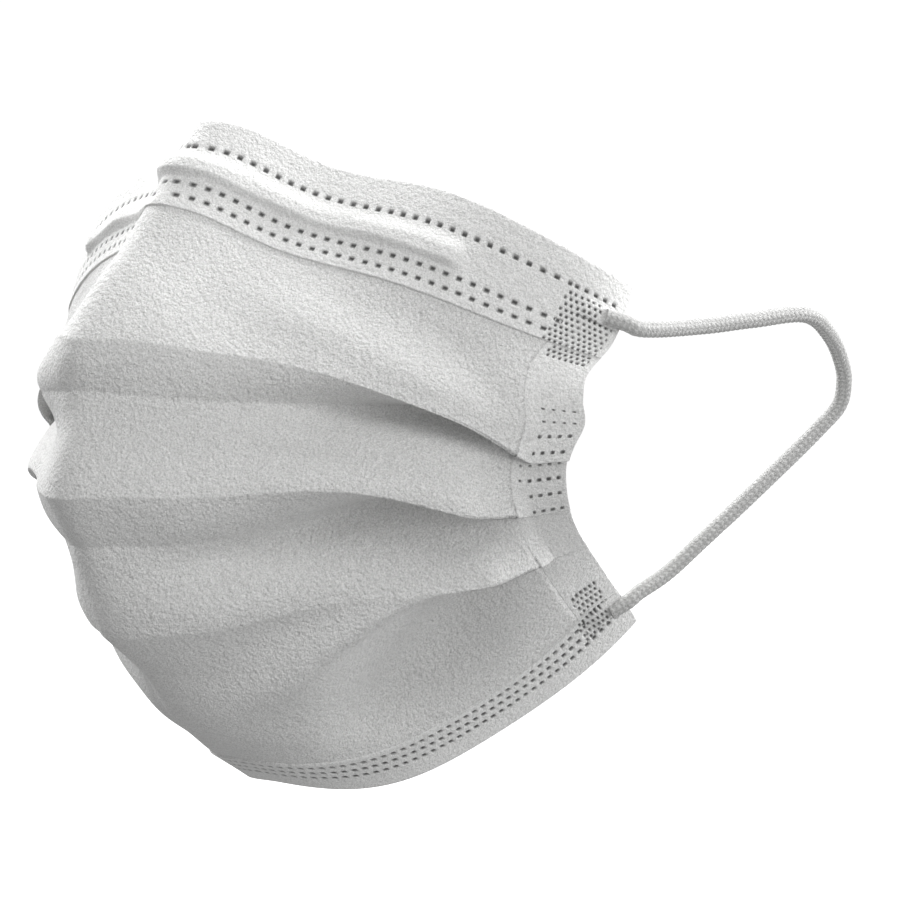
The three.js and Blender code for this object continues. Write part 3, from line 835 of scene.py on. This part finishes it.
def knitted(name):
    """Circular-knit elastic: matte white yarn over rubber, with painted light on its ribs and painted shade
    between the stitches. The yarn's fibres are too fine to show, so they are drawn as a fuzz of 0.4 mm."""
    material = bpy.data.materials.new(name)
    material.use_nodes = True
    tree = material.node_tree
    tree.nodes.clear()
    place = node(tree, "ShaderNodeTexCoord")["Object"]
    yarn = node(
        tree, "ShaderNodeTexNoise", named={"Vector": place, "Scale": 1.0 / (YARN * MM), "Detail": 3.0}
    )["Fac"]
    rib = node(tree, "ShaderNodeAttribute", attribute_name="rib")["Fac"]
    fuzz = node(tree, "ShaderNodeMath", yarn, 0.45, operation="MULTIPLY")[0]
    # Painted light on the ribs and painted shade between the stitches.
    painted_rib_light = node(tree, "ShaderNodeMath", rib, 0.6, operation="MULTIPLY")[0]
    tone = node(tree, "ShaderNodeMath", fuzz, painted_rib_light, operation="ADD")[0]
    colour = node(
        tree, "ShaderNodeMix", named={0: tone, 6: srgb("#A4A4A3"), 7: srgb("#E2E2E1")}, data_type="RGBA"
    )[2]
    bump = node(tree, "ShaderNodeBump", named={"Height": yarn, "Strength": 0.8, "Distance": 0.0005})[0]
    shader = node(tree, "ShaderNodeBsdfPrincipled", named={
        "Base Color": colour, "Normal": bump, "Roughness": 0.85, "Sheen Weight": 0.3,
    })[0]
    node(tree, "ShaderNodeOutputMaterial", shader)
    return material


def cord_tree():
    """Knits a round cord along a line: wales side by side round it, each a row of V stitches.
    The real stitches are 0.5 mm long, and are drawn 1.1 mm long so that they show."""
    tree = bpy.data.node_groups.new("knitted_cord", "GeometryNodeTree")
    face = tree.interface
    face.new_socket("Geometry", in_out="INPUT", socket_type="NodeSocketGeometry")
    for key, value in (
        ("Radius", CORD / 2 * MM), ("Step", 0.2 * MM), ("Stitch", 1.1 * MM), ("Height", 0.1 * MM),
        ("Taper", 6.0 * MM),
    ):
        face.new_socket(key, in_out="INPUT", socket_type="NodeSocketFloat").default_value = value
    for key, value in (("Sides", 40), ("Wales", 8)):
        face.new_socket(key, in_out="INPUT", socket_type="NodeSocketInt").default_value = value
    face.new_socket("Material", in_out="INPUT", socket_type="NodeSocketMaterial")
    face.new_socket("Geometry", in_out="OUTPUT", socket_type="NodeSocketGeometry")
    given = node(tree, "NodeGroupInput")
    kind, times = "ShaderNodeMath", {"operation": "MULTIPLY"}

    # The line, with the distance run kept on it, thinner towards both pressed ends.
    line = node(tree, "GeometryNodeMeshToCurve", given["Geometry"])[0]
    line = node(tree, "GeometryNodeResampleCurve", line, named={"Length": given["Step"]}, mode="LENGTH")[0]
    spline = node(tree, "GeometryNodeSplineParameter")
    whole = node(tree, "GeometryNodeSplineLength")["Length"]
    left = node(tree, kind, whole, spline["Length"], operation="SUBTRACT")[0]
    near = node(tree, kind, spline["Length"], left, operation="MINIMUM")[0]
    thick = node(
        tree, "ShaderNodeMapRange", near, 0.0, given["Taper"], 0.45, 1.0, interpolation_type="SMOOTHSTEP"
    )[0]
    line = node(tree, "GeometryNodeSetCurveRadius", line, named={"Radius": thick})[0]
    line = node(
        tree, "GeometryNodeStoreNamedAttribute", line, named={"Name": "run", "Value": spline["Length"]}
    )[0]
    ring = node(tree, "GeometryNodeCurvePrimitiveCircle", named={
        "Resolution": given["Sides"], "Radius": given["Radius"],
    })[0]
    factor = node(tree, "GeometryNodeSplineParameter")["Factor"]
    ring = node(tree, "GeometryNodeStoreNamedAttribute", ring, named={"Name": "turn", "Value": factor})[0]
    cord = node(tree, "GeometryNodeCurveToMesh", line, ring, named={"Fill Caps": True})[0]

    # Across a wale from 0 to 1 and back, along it one stitch after another.
    run = node(tree, "GeometryNodeInputNamedAttribute", "run")[0]
    turn = node(tree, "GeometryNodeInputNamedAttribute", "turn")[0]
    wale = node(tree, kind, turn, given["Wales"], **times)[0]
    wale = node(tree, kind, wale, 0.5, operation="PINGPONG")[0]
    wale = node(tree, kind, wale, 2.0, **times)[0]
    stitch = node(tree, kind, run, given["Stitch"], operation="DIVIDE")[0]
    lean = node(tree, kind, wale, 0.7, **times)[0]
    stitch = node(tree, kind, stitch, lean, operation="ADD")[0]
    stitch = node(tree, kind, stitch, 0.5, operation="PINGPONG")[0]
    stitch = node(tree, kind, stitch, 2.0, **times)[0]
    loops = node(tree, "ShaderNodeMapRange", stitch, 0.1, 0.9, interpolation_type="SMOOTHSTEP")[0]
    sides = node(tree, "ShaderNodeMapRange", wale, 0.0, 0.5, interpolation_type="SMOOTHSTEP")[0]
    rib = node(tree, kind, loops, sides, **times)[0]
    normal = node(tree, "GeometryNodeInputNormal")[0]
    height = node(tree, kind, rib, given["Height"], **times)[0]
    push = node(tree, "ShaderNodeVectorMath", named={0: normal, "Scale": height}, operation="SCALE")[0]
    cord = node(tree, "GeometryNodeSetPosition", cord, named={"Offset": push})[0]
    # The rib is also kept for the material, which paints light on the ribs and shade between them.
    cord = node(tree, "GeometryNodeStoreNamedAttribute", cord, named={"Name": "rib", "Value": rib})[0]
    cord = node(tree, "GeometryNodeSetShadeSmooth", cord)[0]
    cord = node(tree, "GeometryNodeRealizeInstances", cord)[0]
    cord = node(tree, "GeometryNodeSetMaterial", cord, named={"Material": given["Material"]})[0]
    node(tree, "NodeGroupOutput", cord)
    return tree


CORD_TREE = cord_tree()
CORD_SOCKETS = {
    item.name: item.identifier for item in CORD_TREE.interface.items_tree if item.in_out == "INPUT"
}


def cord_mesh(name, line, radius, material):
    """Round knitted cord along a line in mm."""
    mesh = bpy.data.meshes.new(name)
    mesh.from_pydata((line * MM).tolist(), [(i, i + 1) for i in range(len(line) - 1)], [])
    obj = bpy.data.objects.new(name, mesh)
    bpy.context.scene.collection.objects.link(obj)
    knit = obj.modifiers.new("knit", "NODES")
    knit.node_group = CORD_TREE
    for key, value in (("Radius", radius * MM), ("Height", 0.1 * MM), ("Material", material)):
        knit[CORD_SOCKETS[key]] = value
    plain(obj)
    return obj


elastic_white = knitted("knitted_elastic")
upper, upper_way, upper_out = loop_end(TAB_FROM_EDGE + TAB_WIDTH / 2)
lower, lower_way, lower_out = loop_end(CLOTH_HEIGHT - BOTTOM_BAND + TAB_WIDTH / 2)
route = [upper - upper_way * END_RUN - upper_out * END_SINK, upper, upper + upper_way * END_STRAIGHT]
for back_share, down_share, out in LOOP_ROWS:
    spot = upper + (lower - upper) * down_share
    route.append(spot + np.array([out, back_share * LOOP_REACH, 0.0]))
route += [lower + lower_way * END_STRAIGHT, lower, lower - lower_way * END_RUN - lower_out * END_SINK]
for side_name, side in (("left", 1.0), ("right", -1.0)):
    mirrored = np.array(route) * np.array([side, 1.0, 1.0])
    line, length = smooth_path(mirrored, 420)
    loop = cord_mesh(f"loop_cord_{side_name}", line, CORD / 2, elastic_white)
    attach(loop, "root")
    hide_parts(f"loop_{side_name}")


# Loop ends
# Each end of the elastic is pressed flat over 9 mm by the welding horn, on the outside of its
# corner, and shows a grid of tooth marks.
TAB_LENGTH = 9.0
TAB_LIFT = 0.30
TAB_CROWN = 0.75
TAB_TAPER = 3.0
TAB_MARGIN = 0.4
for side_name, side in (("left", 1.0), ("right", -1.0)):
    for level, first in (("upper", TAB_FROM_EDGE), ("lower", CLOTH_HEIGHT - BOTTOM_BAND)):
        outer_end = 1.0 - TAB_MARGIN / HALF_WIDTH
        columns = np.linspace(outer_end - TAB_LENGTH / HALF_WIDTH, outer_end, 40) * side
        rows = np.linspace(first + TAB_MARGIN, first + TAB_WIDTH - TAB_MARGIN, 20)
        across, down = np.meshgrid(columns, rows)
        crown = 1.0 - np.abs((down - first) / TAB_WIDTH * 2.0 - 1.0) ** 3
        from_end = TAB_LENGTH - (outer_end - np.abs(across)) * HALF_WIDTH
        points = cloth_point(across, down, TAB_LIFT + TAB_CROWN * crown * smooth(0.0, TAB_TAPER, from_end))
        if side < 0:
            points, across, down = points[:, ::-1], across[:, ::-1], down[:, ::-1]
        tab = grid_mesh(f"loop_end_flat_{level}_{side_name}", points, across * HALF_WIDTH, down)
        teeth = TOP_TEETH if level == "upper" else chin_teeth
        press_dots(
            tab, band_white, first_across=TEETH_FROM, last_across=85.0,
            first_down=teeth, last_down=teeth + 3.4, depth=0.25, **TEETH,
        )
        plain(tab)
        wall(tab, 0.5)
        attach(tab, "root")
        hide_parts(f"loop_end_{level}_{side_name}")


# Studio
# A white floor well below the mask, which is held up as a head holds it, in an even white
# surround. Soft disk lights overhead, on the far side and behind model the pleats and the loop,
# and two weak ones at the front and the near side keep the shaded cloth light.
FLOOR_LEVEL = -0.30
floor_mesh = bpy.data.meshes.new("floor")
floor_corners = [(x, y, FLOOR_LEVEL) for x, y in ((-3, -2), (3, -2), (3, 2), (-3, 2))]
floor_mesh.from_pydata(floor_corners, [], [(0, 1, 2, 3)])
floor = bpy.data.objects.new("floor", floor_mesh)
bpy.context.scene.collection.objects.link(floor)
paint = bpy.data.materials.new("white_floor")
paint.use_nodes = True
lacquer = paint.node_tree.nodes["Principled BSDF"].inputs
lacquer["Base Color"].default_value = srgb("#FAFAFA")
lacquer["Roughness"].default_value = 0.9
lacquer["Emission Color"].default_value = srgb("#FFFFFF")
lacquer["Emission Strength"].default_value = 1.0
floor_mesh.materials.append(paint)
floor.visible_diffuse = False
floor.visible_glossy = False

world = bpy.data.worlds.new("white_surround")
bpy.context.scene.world = world
world.use_nodes = True
backdrop = world.node_tree.nodes["Background"]
FILL = 0.39
SEEN = 1.05
seen = node(world.node_tree, "ShaderNodeLightPath")["Is Camera Ray"]
level = node(world.node_tree, "ShaderNodeMapRange", seen, 0.0, 1.0, FILL, SEEN)[0]
world.node_tree.links.new(level, backdrop.inputs["Strength"])
backdrop.inputs["Color"].default_value = (1.0, 1.0, 1.0, 1.0)
bpy.context.scene.view_settings.view_transform = "Standard"


LAMP_SIZE = 0.5
MASK_MIDDLE = Vector((0.0, 0.0, -0.06))
LAMPS = (
    # name, place in metres, watts
    ("front_top", (0.47, -0.47, 0.61), 2.0),
    ("top", (0.0, 0.33, 0.83), 6.8),
    ("right", (0.93, -0.05, 0.05), 2.2),
    ("right_behind", (0.45, 0.77, 0.27), 6.5),
    ("left", (-0.82, 0.0, 0.42), 8.5),
    ("left_behind", (-0.77, 0.45, 0.27), 4.5),
)
for name, place, watts in LAMPS:
    disk = bpy.data.lights.new(name, "AREA")
    disk.shape = "DISK"
    disk.size = LAMP_SIZE
    disk.energy = watts
    lamp = bpy.data.objects.new(name, disk)
    lamp.location = place
    lamp.rotation_euler = (Vector(place) - MASK_MIDDLE).to_track_quat("Z", "Y").to_euler()
    bpy.context.scene.collection.objects.link(lamp)
